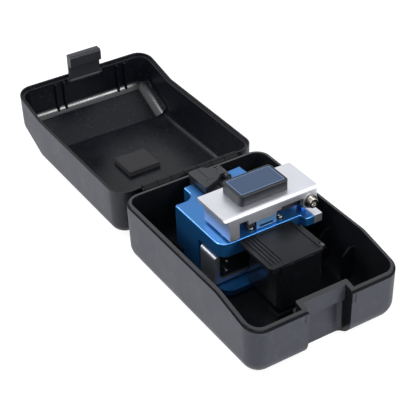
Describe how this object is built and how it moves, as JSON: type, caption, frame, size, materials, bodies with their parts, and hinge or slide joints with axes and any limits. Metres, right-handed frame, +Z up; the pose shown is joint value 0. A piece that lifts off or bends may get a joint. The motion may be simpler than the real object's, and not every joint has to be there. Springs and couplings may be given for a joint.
{
  "type": "fibre cleaver in a carrying case",
  "caption": "Optical fibre cleaver: blue frame, hinged clamp lid, sliding round blade, fibre holder and scrap bin, seated in a hinged moulded case.",
  "frame": {"origin": "centre of the case tray's underside, on the surface that it stands on", "axes": "+X from the case hinge to the finger recess in front, +Y to the cleaver's pivot side, +Z up"},
  "size_m": [0.28, 0.1, 0.0632],
  "materials": {
    "case_shell": "moulded, fine satin grain, dark inside",
    "foam": "matt closed-cell foam",
    "blue_anodised": "satin blue anodised",
    "silver_anodised": "bead blasted, clear anodised",
    "polished_alloy": "brushed with bright edges",
    "black_plastic": "fine grain moulded",
    "black_anodised": "matt black anodised",
    "pad_plastic": "soft-touch",
    "label": "satin film",
    "steel": "turned",
    "bright_steel": "bright plated",
    "rubber": "matt"
  },
  "bodies": {
    "tray": {"case_tray": "case_shell", "case_hinge_pin": "steel"},
    "lid": {"case_lid": "case_shell", "case_latch_pin": "steel", "lid_foam_pad": "foam"},
    "latch": {"case_latch": "case_shell"},
    "cleaver": {"body_frame": "blue_anodised", "base_feet": "rubber", "hinge_block": "silver_anodised", "hinge_block_screws": "bright_steel", "collector_screws": "bright_steel", "rail_screws": "bright_steel", "holder_screws": "bright_steel", "lower_clamp_left": "blue_anodised", "lower_clamp_right": "blue_anodised", "lower_clamp_pads": "rubber", "body_magnet": "bright_steel", "holder_plate": "black_anodised", "holder_flap_pin": "steel", "guide_rail": "steel", "collector_bin": "black_plastic", "collector_pin": "steel"},
    "flap": {"holder_flap": "black_anodised", "holder_flap_pads": "rubber"},
    "slide": {"guide_bearing": "steel", "slide_carriage": "polished_alloy", "blade_cover": "black_plastic", "cover_screws": "bright_steel", "blade_screw": "steel"},
    "blade": {"blade_wheel": "bright_steel"},
    "clamp": {"clamp_lid": "silver_anodised", "lid_magnet": "bright_steel", "pivot_shaft": "steel", "pivot_screws": "bright_steel", "press_pad": "pad_plastic", "pad_label": "label", "upper_clamp_plate": "silver_anodised", "upper_clamp_left": "black_anodised", "upper_clamp_right": "black_anodised", "upper_clamp_pads": "rubber", "anvil": "steel", "lid_bumper": "rubber"},
    "bin_lid": {"collector_lid": "black_plastic"}
  },
  "joints": [
    {"name": "case_lid_hinge", "type": "hinge", "parent": "tray", "child": "lid", "pos_m": [-0.07135, 0, 0.0394], "axis": [0, -1, 0], "range_deg": [-180, 0]},
    {"name": "case_latch_hinge", "type": "hinge", "parent": "lid", "child": "latch", "pos_m": [-0.20665, 0, 0.0436], "axis": [0, -1, 0], "range_deg": [0, 15]},
    {"name": "cleaver_lift", "type": "slide", "parent": "tray", "child": "cleaver", "axis": [0, 0, 1], "range_m": [0, 0.075]},
    {"name": "clamp_lid_hinge", "type": "hinge", "parent": "cleaver", "child": "clamp", "pos_m": [-0.01125, 0.0348, 0.0472], "axis": [-1, 0, 0], "range_deg": [0, 80]},
    {"name": "blade_slide", "type": "slide", "parent": "cleaver", "child": "slide", "axis": [0, -1, 0], "range_m": [0, 0.016]},
    {"name": "blade_index", "type": "hinge", "parent": "slide", "child": "blade", "pos_m": [-0.01125, 0.014, 0.0298], "axis": [1, 0, 0], "continuous": true},
    {"name": "holder_flap_hinge", "type": "hinge", "parent": "cleaver", "child": "flap", "pos_m": [-0.05475, 0.0132, 0.0432], "axis": [-1, 0, 0], "range_deg": [0, 110]},
    {"name": "collector_lid_hinge", "type": "hinge", "parent": "cleaver", "child": "bin_lid", "pos_m": [0.02055, 0.0227, 0.0381], "axis": [-1, 0, 0], "range_deg": [0, 100]}
  ]
}
